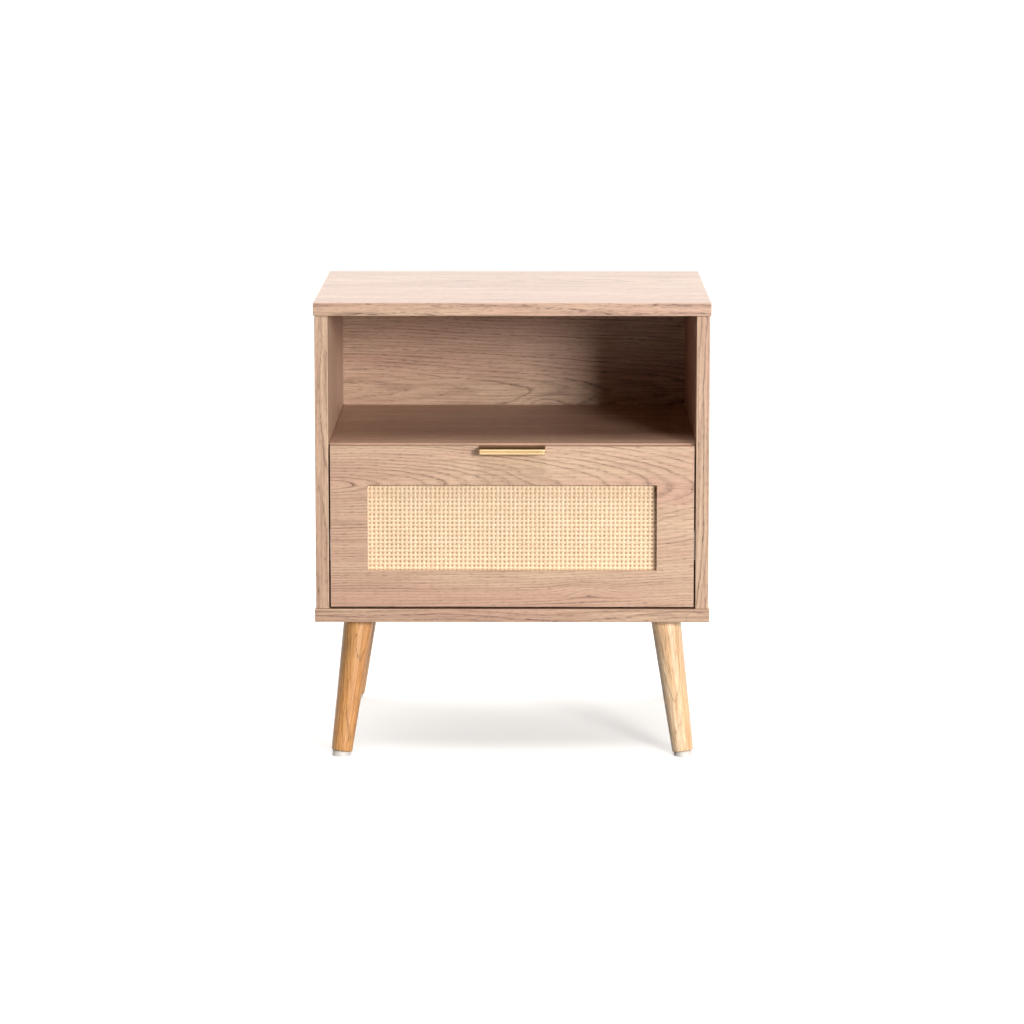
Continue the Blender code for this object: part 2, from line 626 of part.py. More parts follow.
def main():
    clear_scene()
    mats = make_materials()
    boards = make_boards(mats)
    groove_boards(boards)
    fit_cams(boards, mats)
    fit_board_screws(boards, mats)
    make_legs(boards["bottom_panel"], mats)
    make_runners(mats)
    drawer_front = make_drawer_front(mats)
    make_cane_window(mats)
    make_drawer_box(mats)
    make_pull(mats, drawer_front)


main()
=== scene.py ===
"""Nightstand with one cane-fronted drawer: finishes, cane, brass, legs, fittings and stage.

Metres, +Z up, front towards -Y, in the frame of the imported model.
"""
import math
import random

import bmesh
import bpy
from bpy.props import FloatProperty, FloatVectorProperty, IntProperty, PointerProperty
from mathutils import Matrix, Vector


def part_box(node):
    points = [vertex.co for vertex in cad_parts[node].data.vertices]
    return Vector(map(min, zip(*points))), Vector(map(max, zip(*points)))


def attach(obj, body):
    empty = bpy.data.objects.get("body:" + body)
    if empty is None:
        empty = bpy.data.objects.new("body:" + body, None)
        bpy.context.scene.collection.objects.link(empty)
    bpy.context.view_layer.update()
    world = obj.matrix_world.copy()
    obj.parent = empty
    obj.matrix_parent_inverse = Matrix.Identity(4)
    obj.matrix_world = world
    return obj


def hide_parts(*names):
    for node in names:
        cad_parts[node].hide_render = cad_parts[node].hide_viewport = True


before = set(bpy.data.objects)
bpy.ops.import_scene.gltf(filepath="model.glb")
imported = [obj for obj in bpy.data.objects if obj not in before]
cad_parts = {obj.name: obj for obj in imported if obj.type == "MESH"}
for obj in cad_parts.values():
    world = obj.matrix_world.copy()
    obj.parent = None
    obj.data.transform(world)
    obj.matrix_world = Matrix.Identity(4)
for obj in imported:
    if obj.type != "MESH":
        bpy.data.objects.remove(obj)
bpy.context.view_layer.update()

bl_info = {
    "name": "Nightstand with cane drawer",
    "version": (1, 0, 0),
    "blender": (4, 5, 0),
    "location": "View3D > Sidebar > Nightstand",
    "description": "Finishes and detailed pieces of a nightstand, built round its packed model",
    "category": "Object",
}

MILLIMETRES = 1000.0
SIDES = (("left", -1), ("right", 1))
ENDS = (("front", -1), ("rear", 1))
UNTURNED = Matrix.Identity(4)
LEG_PLATE = 0.0025       # thickness of a leg plate
SHEET = 0.0012           # thickness of a runner's steel


# ---------------------------------------------------------------- small tools

def tone(red, green, blue):
    """A paint-chart colour, 0 to 255 a channel, as linear light."""
    return tuple(c / 3294.6 if c <= 10 else ((c / 255 + 0.055) / 1.055) ** 2.4
                 for c in (red, green, blue))


def shade(colour, *factors):
    """A colour times one factor, or times one for each channel, and never past full."""
    factors *= 3 // len(factors)
    return tuple(min(1.0, channel * factor) for channel, factor in zip(colour, factors))


def node_box(node):
    """A node's box as lowest corner, highest corner and middle."""
    low, high = (Vector(corner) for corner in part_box(node))
    return low, high, (low + high) / 2


def placed(origin, x_way, z_way):
    """A placement whose own X and Z point the given ways."""
    x_way = Vector(x_way).normalized()
    z_way = Vector(z_way).normalized()
    turn = Matrix((x_way, z_way.cross(x_way), z_way)).transposed()
    return Matrix.Translation(origin) @ turn.to_4x4()


def arc(centre, radius, start, end, count):
    """Points on a round stretch of an outline; angles in degrees."""
    points = []
    for step in range(count + 1):
        angle = math.radians(start + (end - start) * step / count)
        points.append((centre[0] + radius * math.cos(angle), centre[1] + radius * math.sin(angle)))
    return points


def finish_mesh(bm, name, sharp=35.0):
    """Close a bmesh into a smooth mesh that stays crisp at its corners."""
    mesh = bpy.data.meshes.new(name)
    bmesh.ops.recalc_face_normals(bm, faces=bm.faces)
    bm.to_mesh(mesh)
    bm.free()
    mesh.shade_smooth()
    mesh.set_sharp_from_angle(angle=math.radians(sharp))
    return mesh


def add_piece(name, mesh, body, material, place=None, replaces=()):
    """Link a piece, dress it and let it ride on its body."""
    thing = bpy.data.objects.new(name, mesh)
    bpy.context.scene.collection.objects.link(thing)
    if place is not None:
        thing.matrix_world = place
    if not mesh.materials:
        mesh.materials.append(material)
    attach(thing, body)
    if replaces:
        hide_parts(*replaces)
    return thing


def dress(node, material):
    """Give a carried-over CAD node its finish."""
    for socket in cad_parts[node].material_slots:
        socket.material = material


def join_loops(bm, first, second):
    """Close the band between two loops of as many points."""
    count = len(first)
    for step in range(count):
        after = (step + 1) % count
        bm.faces.new((first[step], first[after], second[after], second[step]))


def add_turned(bm, profile, steps, place=UNTURNED):
    """Turn a profile of (radius, height) points; a radius of 0 closes an end with a fan."""
    before = None
    for radius, height in profile:
        if radius == 0:
            tip = bm.verts.new(place @ Vector((0, 0, height)))
            if before:
                for step in range(steps):
                    bm.faces.new((before[step], before[(step + 1) % steps], tip))
            before = tip
            continue
        loop = [bm.verts.new(place @ Vector((radius * math.cos(math.tau * step / steps),
                                             radius * math.sin(math.tau * step / steps), height)))
                for step in range(steps)]
        if isinstance(before, list):
            join_loops(bm, before, loop)
        elif before is not None:
            for step in range(steps):
                bm.faces.new((before, loop[(step + 1) % steps], loop[step]))
        before = loop
    return before


CROSS = ((3, -1), (3, 1), (1, 1), (1, 3), (-1, 3), (-1, 1), (-3, 1), (-3, -1), (-1, -1), (-1, -3),
         (1, -3), (1, -1))
CROSS_TAPER = 1.2

# Turned heads: profile of (radius, height), arm and depth of the cross recess, facets round.
CORNER_SCREW = ([(0, -0.0020), (0.0016, -0.0020), (0.0036, -0.0001), (0.0038, 0.0001),
                 (0.0036, 0.0003)], 0.0018, 0.0014, 28)
PULL_SCREW = ([(0, -0.0115), (0.0014, -0.0100), (0.0015, 0.0003), (0.0035, 0.0003),
               (0.0035, 0.0009), (0.0032, 0.0014), (0.0026, 0.0018), (0.0020, 0.0020)],
              0.0016, 0.0012, 32)
PLATE_SCREW = ([(0, -0.0006), (0.0038, -0.0006), (0.0038, 0.0006), (0.0034, 0.0013),
                (0.0028, 0.0017), (0.0021, 0.0019)], 0.0017, 0.0013, 32)
RUNNER_SCREW = ([(0, -0.0004), (0.0033, -0.0004), (0.0033, 0.0001), (0.0030, 0.0004)],
                0.0018, 0.0003, 28)
BOARD_SCREW = ([(0, -0.0500), (0.0008, -0.0500), (0.0025, -0.0460), (0.0025, -0.0136),
                (0.0034, -0.0130), (0.0034, -0.0034), (0.0046, -0.0010), (0.0048, -0.0004),
                (0.0046, 0.0)], 0.0026, 0.0024, 40)
CAM = ([(0, -0.0012), (0.0069, -0.0012), (0.0069, -0.0006), (0.0075, -0.0004), (0.0075, -0.0001),
        (0.0073, 0.0), (0.0060, 0.0), (0.0057, -0.0003)], 0.0030, 0.0028, 48)


def add_cross_head(bm, profile, arm, depth, steps, place):
    """Turned body whose flat end, the profile's last ring, carries a cross recess."""
    rim = add_turned(bm, profile, steps, place)
    top = profile[-1][1]
    mouth, floor = ([bm.verts.new(place @ Vector((x * size, y * size, level))) for x, y in CROSS]
                    for size, level in ((arm / 3, top), (arm / 3 / CROSS_TAPER, top - depth)))
    edges = []
    for loop in (rim, mouth):
        for step in range(len(loop)):
            pair = (loop[step], loop[(step + 1) % len(loop)])
            edges.append(bm.edges.get(pair) or bm.edges.new(pair))
    bmesh.ops.triangle_fill(bm, edges=edges, use_beauty=True)
    join_loops(bm, mouth, floor)
    bm.faces.new(floor)


def add_heads(name, body, kind, places, material, replaces=()):
    """One piece of alike turned heads, one at each place."""
    bm = bmesh.new()
    for place in places:
        add_cross_head(bm, *kind, place)
    add_piece(name, finish_mesh(bm, name), body, material, replaces=replaces)


def add_slab(bm, outline, low, high, easing):
    """Extrude an outline in XY from low to high, with eased rims."""
    middle = Vector((sum(x for x, _ in outline), sum(y for _, y in outline))) / len(outline)
    levels = [(low + easing - z, easing - x) for x, z in arc((0, 0), easing, 90, 0, 3)]
    levels += [(high - easing + z, easing - x) for x, z in arc((0, 0), easing, 0, 90, 3)]
    loops = []
    for height, inset in levels:
        loop = []
        for corner in outline:
            away = Vector(corner) - middle
            away.x -= math.copysign(inset, away.x)
            away.y -= math.copysign(inset, away.y)
            loop.append(bm.verts.new((middle.x + away.x, middle.y + away.y, height)))
        loops.append(loop)
    for first, second in zip(loops, loops[1:]):
        join_loops(bm, first, second)
    bm.faces.new(loops[0])
    bm.faces.new(loops[-1])


# ---------------------------------------------------------------- finishes

class Nodes:
    """A node tree, put together one step at a time."""

    def __init__(self, tree):
        self.tree = tree

    def add(self, kind, inputs=(), output=0, **fields):
        """One output of a new node; its inputs take sockets or plain values."""
        node = self.tree.nodes.new("ShaderNode" + kind)
        for field, value in fields.items():
            setattr(node, field, value)
        pairs = inputs.items() if isinstance(inputs, dict) else enumerate(inputs)
        for key, value in pairs:
            if isinstance(value, bpy.types.NodeSocket):
                self.tree.links.new(value, node.inputs[key])
            elif value is not None:
                node.inputs[key].default_value = value
        return node.outputs[output]

    def maths(self, operation, first, second=None, third=None):
        return self.add("Math", (first, second, third), operation=operation)

    def spread(self, value, low, high, to_low=0.0, to_high=1.0):
        """Smooth step from to_low to to_high as the value goes from low to high."""
        return self.add("MapRange", (value, low, high, to_low, to_high),
                        interpolation_type="SMOOTHSTEP")

    def blend(self, factor, first, second, mode="MIX"):
        first, second = ((*c, 1.0) if isinstance(c, (tuple, list)) and len(c) == 3 else c
                         for c in (first, second))
        return self.add("Mix", {0: factor, 6: first, 7: second}, output=2, data_type="RGBA",
                        blend_type=mode)

    def split(self, vector):
        node = self.tree.nodes.new("ShaderNodeSeparateXYZ")
        self.tree.links.new(vector, node.inputs[0])
        return node.outputs

    def noise(self, vector, detail=2.0, roughness=0.5, output=0, scale=1.0):
        return self.add("TexNoise", {"Vector": vector, "Scale": scale, "Detail": detail,
                                     "Roughness": roughness}, output=output)

    def fibres(self, ways, sizes, seed, detail=2.0, roughness=0.5, output=0):
        """Noise that is sizes long, in millimetres, along, across and through the grain."""
        parts = [self.maths("MULTIPLY_ADD", way, 1.0 / size, seed * shift)
                 for way, size, shift in zip(ways, sizes, (7.31, 3.17, 5.53))]
        return self.noise(self.add("CombineXYZ", parts), detail, roughness, output)


class Finish(Nodes):
    """A surface material about one shader."""

    def __init__(self, name, roughness=0.5, metallic=0.0):
        self.material = bpy.data.materials.new(name)
        self.material.use_nodes = True
        super().__init__(self.material.node_tree)
        self.shader = self.tree.nodes["Principled BSDF"]
        self.set(Roughness=roughness, Metallic=metallic)

    def set(self, **values):
        """Plain values on the shader's own sockets; an underscore stands for a space."""
        for socket, value in values.items():
            self.shader.inputs[socket.replace("_", " ")].default_value = value

    def point(self, centre=(0, 0, 0)):
        """The shaded point in millimetres from a centre on its object."""
        place = self.add("TexCoord", output="Object")
        from_centre = self.add("VectorMath", (place, tuple(centre)), operation="SUBTRACT")
        return self.add("VectorMath", {0: from_centre, "Scale": MILLIMETRES}, operation="SCALE")

    def paint(self, colour, roughness=None, height=None, depth=0.0002, strength=0.3):
        links = self.tree.links
        links.new(colour, self.shader.inputs["Base Color"])
        if roughness is not None:
            links.new(roughness, self.shader.inputs["Roughness"])
        if height is not None:
            bump = self.add("Bump", {"Height": height, "Strength": strength, "Distance": depth})
            links.new(bump, self.shader.inputs["Normal"])
        return self.material


class Grain:
    """How one board was sawn from its log, in millimetres about the board's middle."""
    pith = (40.0, 60.0)
    slope = 0.04
    spacing = 3.4
    sway = 9.0
    seed = 1.0
    knots = ()
    banded = True
    streaky = 1.0

    def __init__(self, order, node=None, **given):
        self.order = order
        self.centre = node_box(node)[2] if node else (0, 0, 0)
        vars(self).update(given)


def wood_finish(name, grain, tones, roughness, line=0.85, pore=0.8, eased=0.35, lacquer=0.0,
                rear=None):
    """Sawn wood: rings about a pith that runs at a slope to the board, pores and soft streaks.

    tones are the light, middle, dark and line colours. Edges at the ends of the grain get a band
    whose grain turns with the edge. rear is the colour of a raw face that looks to the rear.
    """
    finish = Finish(name, roughness)
    if lacquer:
        finish.set(Coat_Weight=lacquer, Coat_Roughness=0.35)
    scaled = finish.point(grain.centre)
    lengths = finish.split(scaled)
    facing = finish.split(finish.add("TexCoord", output="Normal"))
    turned = [finish.maths("ABSOLUTE", part) for part in facing]
    axes = ["XYZ".index(letter) for letter in grain.order]
    along, across, through = (lengths[axis] for axis in axes)
    if grain.banded:
        at_end = finish.maths("GREATER_THAN", turned[axes[0]], 0.7)
        along, across = (finish.add("Mix", {0: at_end, 2: first, 3: second}, data_type="FLOAT")
                         for first, second in ((along, across), (across, along)))
    ways = (along, across, through)

    wander = finish.split(finish.fibres(ways, (300, 75, 75), grain.seed, 1.5, output=1))
    tilted = finish.maths("MULTIPLY_ADD", along, grain.slope, through)
    from_pith = [finish.maths("MULTIPLY_ADD", drift, 2 * grain.sway,
                              finish.maths("ADD", value, offset - grain.sway))
                 for drift, value, offset in zip(wander, (across, tilted),
                                                 (-grain.pith[0], grain.pith[1]))]
    radius = finish.add("VectorMath", {0: finish.add("CombineXYZ", from_pith)}, output="Value",
                        operation="LENGTH")
    ripple = finish.fibres(ways, (42, 7, 9), grain.seed + 3)
    radius = finish.maths("MULTIPLY_ADD", ripple, 2.2, radius)
    for knot_along, knot_across, size, lift in grain.knots:
        apart = finish.add("CombineXYZ", (
            finish.maths("MULTIPLY_ADD", along, 1 / (2.6 * size), -knot_along / (2.6 * size)),
            finish.maths("MULTIPLY_ADD", across, 1 / size, -knot_across / size)))
        square = finish.add("VectorMath", (apart, apart), output="Value", operation="DOT_PRODUCT")
        swell = finish.maths("EXPONENT", finish.maths("MULTIPLY", square, -1.0))
        radius = finish.maths("MULTIPLY_ADD", swell, lift, radius)

    phase = finish.maths("DIVIDE", radius, grain.spacing)
    part = finish.maths("FRACT", phase)
    weight = finish.add("TexWhiteNoise", {"W": finish.maths("FLOOR", phase)}, noise_dimensions="1D")
    late = finish.spread(part, 0.55, 1.0, 0.0, 0.45)
    early = finish.spread(part, 0.30, 0.02)
    lines = finish.maths("MULTIPLY", finish.maths("MAXIMUM", late, early),
                         finish.spread(weight, 0.05, 0.9, 0.25, 1.0))
    pores = finish.spread(finish.fibres(ways, (9, 0.55, 0.8), grain.seed + 5, 1.0), 0.55, 0.67)
    streaks = finish.fibres(ways, (85, 1.8, 2.5), grain.seed + 7, 3.0, 0.6)
    clouds = finish.fibres(ways, (330, 34, 34), grain.seed + 9)

    light, middle, dark, mark = tones
    colour = finish.blend(finish.spread(clouds, 0.30, 0.70), light, middle)
    streaked = finish.spread(streaks, 0.38, 0.72, 0.0, 0.90 * grain.streaky)
    colour = finish.blend(streaked, colour, dark)
    patchy = finish.spread(finish.fibres(ways, (95, 16, 16), grain.seed + 11), 0.32, 0.66, 0.30,
                           1.0)
    strength = finish.maths("MULTIPLY", finish.maths("MULTIPLY", lines, line), patchy)
    colour = finish.blend(strength, colour, mark)
    depth_of_pores = finish.maths("MULTIPLY", pores,
                                  finish.maths("MULTIPLY_ADD", lines, pore, pore * 0.35))
    colour = finish.blend(depth_of_pores, colour, mark, "MULTIPLY")
    # Eased edges turn lighter: partly wear, partly a painted highlight along the arris.
    if eased:
        flat = finish.maths("MAXIMUM", finish.maths("MAXIMUM", turned[0], turned[1]), turned[2])
        colour = finish.blend(finish.spread(flat, 0.985, 0.94, 0.0, eased), colour,
                              shade(light, 1.18))
    if rear:
        behind = finish.maths("GREATER_THAN", facing[1], 0.5)
        raw = finish.blend(finish.spread(finish.noise(scaled, 4.0, 0.7, scale=0.45), 0.3, 0.7),
                           rear, shade(rear, 0.72))
        colour = finish.blend(behind, colour, raw)
    rough = finish.maths("MULTIPLY_ADD", pores, 0.12,
                         finish.maths("MULTIPLY_ADD", streaks, 0.10, roughness - 0.05))
    height = finish.maths("SUBTRACT", finish.maths("MULTIPLY", streaks, 0.4), pores)
    return finish.paint(colour, rough, height, depth=0.00012, strength=0.25)


def metal_finish(name, colour, roughness, run="X", brushed=0.5, stain=0.15):
    """Worked metal: fine lines the way it was brushed, faint handling marks and soft stains."""
    finish = Finish(name, roughness, 1.0)
    scaled = finish.point()
    parts = finish.split(scaled)
    ways = [parts[axis] for axis in {"X": (0, 1, 2), "Y": (1, 0, 2)}[run]]
    lines = finish.fibres(ways, (22, 0.16, 0.16), 2, 2.0, 0.6)
    stains = finish.noise(scaled, 3.0, 0.6, scale=0.06)
    specks = finish.noise(scaled, 2.0, 0.5, scale=0.9)
    tinted = finish.blend(finish.spread(stains, 0.35, 0.75, 0.0, stain), colour,
                          shade(colour, 0.62))
    tinted = finish.blend(finish.spread(specks, 0.55, 0.80, 0.0, 0.25), tinted,
                          shade(colour, 1.12))
    rough = finish.maths("MULTIPLY_ADD", lines, 0.16 * brushed,
                         finish.maths("MULTIPLY_ADD", stains, 0.14, roughness - 0.10))
    return finish.paint(tinted, rough, lines, depth=0.00004, strength=0.25 * brushed)


def cast_finish(name, colour, roughness):
    """Die-cast zinc: a fine, even grain with darker hollows."""
    finish = Finish(name, roughness, 1.0)
    scaled = finish.point()
    grit = finish.noise(scaled, 4.0, 0.65, scale=2.2)
    clouds = finish.noise(scaled, 2.0, 0.5, scale=0.18)
    tinted = finish.blend(finish.spread(clouds, 0.3, 0.7, 0.0, 0.5), colour,
                          shade(colour, 0.7))
    rough = finish.spread(grit, 0.3, 0.7, roughness - 0.08, roughness + 0.12)
    return finish.paint(tinted, rough, grit, depth=0.00008, strength=0.5)


def moulded_finish(name, colour, roughness):
    """Moulded nylon: nearly even, with a fine spark texture and a few scuffs."""
    finish = Finish(name, roughness)
    scaled = finish.point()
    spark = finish.noise(scaled, 3.0, 0.7, scale=3.0)
    scuffs = finish.noise(scaled, 4.0, 0.7, scale=0.25)
    tinted = finish.blend(finish.spread(scuffs, 0.45, 0.75, 0.0, 0.5), colour,
                          shade(colour, 0.80))
    rough = finish.spread(spark, 0.3, 0.7, roughness - 0.06, roughness + 0.10)
    return finish.paint(tinted, rough, spark, depth=0.00005, strength=0.3)


def cane_finish(name, order, looks, pitch):
    """Split cane: a pale skin with fibres along the strand, each strand a little different."""
    finish = Finish(name, looks.cane_gloss)
    parts = finish.split(finish.point())
    along, across, through = (parts["XYZ".index(letter)] for letter in order)
    fibres = finish.fibres((along, across, through), (9, 0.16, 0.3), 4, 2.0, 0.6)
    number = finish.maths("ROUND", finish.maths("DIVIDE", across, pitch * MILLIMETRES))
    pick = finish.add("TexWhiteNoise", {"W": number}, noise_dimensions="1D")
    own_way = (along, finish.maths("MULTIPLY", number, 9.0), through)
    length_mix = finish.fibres(own_way, (38, 1.0, 60), 6)
    light, dark = tuple(looks.cane_light), tuple(looks.cane_dark)
    colour = finish.blend(finish.maths("MULTIPLY", pick, 0.22), light, dark)
    colour = finish.blend(finish.spread(length_mix, 0.40, 0.75, 0.0, 0.42), colour, dark)
    colour = finish.blend(finish.spread(fibres, 0.50, 0.78, 0.0, 0.30), colour, shade(dark, 0.7))
    rough = finish.spread(fibres, 0.3, 0.7, looks.cane_gloss - 0.08, looks.cane_gloss + 0.12)
    return finish.paint(colour, rough, fibres, depth=0.00008, strength=0.35)


def fibreboard_finish(name, colour):
    """Thin board with a pressed fibre face."""
    finish = Finish(name, 0.6)
    scaled = finish.point()
    flecks = finish.noise(scaled, 4.0, 0.7, scale=0.9)
    clouds = finish.noise(scaled, 2.0, 0.5, scale=0.03)
    tinted = finish.blend(finish.spread(clouds, 0.3, 0.7), colour, shade(colour, 0.86))
    tinted = finish.blend(finish.spread(flecks, 0.50, 0.75, 0.0, 0.45), tinted,
                          shade(colour, 0.62))
    rough = finish.spread(flecks, 0.3, 0.7, 0.52, 0.68)
    return finish.paint(tinted, rough, flecks, depth=0.0001, strength=0.3)


# ---------------------------------------------------------------- settings

def colour_setting(name, description, colour):
    return FloatVectorProperty(name=name, description=description, subtype="COLOR", size=3,
                               min=0.0, max=1.0, default=colour)


def length_setting(name, description, default, low=0.0, high=1.0):
    return FloatProperty(name=name, description=description, default=default, min=low, max=high,
                         unit="LENGTH", subtype="DISTANCE", precision=5)


def number_setting(name, description, default, high=5.0):
    return FloatProperty(name=name, description=description, default=default, min=0.0, max=high)


def angle_setting(name, description, degrees):
    return FloatProperty(name=name, description=description, default=math.radians(degrees),
                         min=-math.pi, max=math.pi, subtype="ANGLE")


class BoardLooks(bpy.types.PropertyGroup):
    """Oak finish of the case and the drawer front, and the plain wood of the drawer box."""
    light: colour_setting("Light wood", "Pale wood between the growth rings", tone(204, 173, 145))
    middle: colour_setting("Middle wood", "Warmer cloudy areas of a board", tone(192, 152, 131))
    dark: colour_setting("Dark streaks", "Soft streaks along the grain", tone(165, 130, 108))
    line: colour_setting("Ring lines", "The fine dark lines of the growth rings", tone(104, 74, 57))
    gloss: FloatProperty(name="Roughness", description="How matt the boards are", default=0.42,
                         min=0.1, max=0.9, subtype="FACTOR")
    lacquer: FloatProperty(name="Lacquer on the top", description="Clear coat of the top board",
                           default=0.35, min=0.0, max=1.0, subtype="FACTOR")
    box_light: colour_setting("Drawer box", "Wood of the drawer's sides and back",
                              tone(214, 199, 176))
    backing: colour_setting("Thin boards", "Bottom of the drawer",
                            tone(186, 155, 118))
    behind_cane: colour_setting("Behind the cane", "Pale board that shows between the strands",
                                tone(222, 184, 144))
    rear: colour_setting("Rear of the back panel", "Raw face that stands to the wall",
                         tone(150, 118, 88))


class CaneLooks(bpy.types.PropertyGroup):
    """The woven cane in the drawer front."""
    pitch_across: length_setting("Pitch across", "Middle to middle of the upright strands", 0.00495,
                                 0.002, 0.02)
    pitch_up: length_setting("Pitch up", "Middle to middle of the level strands", 0.004907,
                             0.002, 0.02)
    strand: length_setting("Strand width", "Width of a strand of split cane", 0.0030, 0.001, 0.01)
    thickness: length_setting("Strand thickness", "Thickness of a strand", 0.00050, 0.0002, 0.002)
    cane_light: colour_setting("Light cane", "Skin of the palest strands", tone(241, 214, 180))
    cane_dark: colour_setting("Dark cane", "Tone that the strands drift towards",
                              tone(220, 178, 140))
    cane_gloss: FloatProperty(name="Roughness", description="How matt the cane is", default=0.45,
                              min=0.1, max=0.9, subtype="FACTOR")


class LegLooks(bpy.types.PropertyGroup):
    """The turned wooden legs."""
    lean: angle_setting("Lean", "How far the legs lean out along the diagonals", 10.5)
    top_radius: length_setting("Radius at the top", "Radius under the leg plate",
                               0.0172, 0.005, 0.05)
    foot_radius: length_setting("Radius at the foot", "Radius above the glide", 0.0120, 0.005, 0.05)
    light: colour_setting("Light wood", "Pale wood of the legs", tone(230, 176, 116))
    middle: colour_setting("Middle wood", "Honey tone of the legs", tone(216, 154, 92))
    dark: colour_setting("Dark streaks", "Streaks along the legs", tone(186, 122, 64))
    line: colour_setting("Ring lines", "Dark lines along the legs", tone(104, 62, 32))
    steps: IntProperty(name="Facets", description="Facets round a leg", default=96, min=16, max=256)


class HardwareLooks(bpy.types.PropertyGroup):
    """Brass, zinc and nylon."""
    brass: colour_setting("Brass", "The pull", tone(206, 178, 136))
    zinc: colour_setting("Bright zinc", "Screws, bolts, plates and runners", tone(200, 201, 204))
    cast: colour_setting("Cast zinc", "Cam locks", tone(196, 190, 182))
    nylon: colour_setting("Nylon", "Glides under the legs", tone(222, 217, 210))
    brass_gloss: FloatProperty(name="Brass roughness", description="How satin the pull is",
                               default=0.30, min=0.05, max=0.9, subtype="FACTOR")


class StageLooks(bpy.types.PropertyGroup):
    """Floor, lights and camera."""
    floor: colour_setting("Floor", "Plain pale floor", (0.86, 0.85, 0.835))
    floor_reach: length_setting("Floor reach", "Half the side of the floor", 80.0, 5.0, 200.0)
    overhead: number_setting("Light from above", "Sky strength overhead", 1.44)
    behind: number_setting("Light from behind", "Sky strength at the rear", 2.10)
    ahead: number_setting("Light from the front", "Sky strength at the front", 0.01)
    below: number_setting("Light from below", "Sky strength under the floor's level", 0.05)
    sky_lean: number_setting("Sky lean", "How far the light overhead leans to the rear", 0.6)
    floor_glow: number_setting("Floor glow", "How much the floor shines by itself", 0.42)
    key_power: number_setting("Key light", "Power of the front light, watts", 92.0, 1000.0)
    key_side: angle_setting("Key light's side", "Turn of the key to the right", 24.0)
    key_rise: angle_setting("Key light's height", "Rise of the key", 13.0)
    key_width: length_setting("Key light's width", "Width of the key light", 0.75, 0.1, 10.0)
    key_height: length_setting("Key light's own height", "Height of the key light", 0.55, 0.1, 10.0)
    wide_power: number_setting("Wide light", "Power of the wide side light, watts", 84.0, 1000.0)
    wide_side: angle_setting("Wide light's side", "Turn of the wide light", 36.0)
    wide_rise: angle_setting("Wide light's height", "Rise of the wide light", 9.0)
    wide_width: length_setting("Wide light's width", "Width of the wide light", 2.80, 0.1, 10.0)
    wide_height: length_setting("Wide light's own height", "Height of the wide light",
                                1.10, 0.1, 10.0)
    high_power: number_setting("High light", "Power of the light above the front, watts",
                               54.0, 1000.0)
    high_rise: angle_setting("High light's height", "Rise of the high light", 67.0)
    high_size: length_setting("High light's size", "Side of the high light", 1.60, 0.1, 10.0)
    light_distance: length_setting("Lights' distance", "From the drawer front", 3.7, 0.5, 20.0)
    lens: FloatProperty(name="Lens", description="Focal length on a 36 mm sensor",
                        default=148.57, min=10.0, max=500.0)
    camera_place: FloatVectorProperty(name="Camera", description="Place of the camera", size=3,
                                      subtype="TRANSLATION", default=(0.0264, -4.9402, 0.9892))
    camera_tilt: angle_setting("Camera tilt", "0 looks straight down", 81.5805)
    camera_turn: angle_setting("Camera turn", "Turn about the vertical", 0.3203)


# ---------------------------------------------------------------- stage

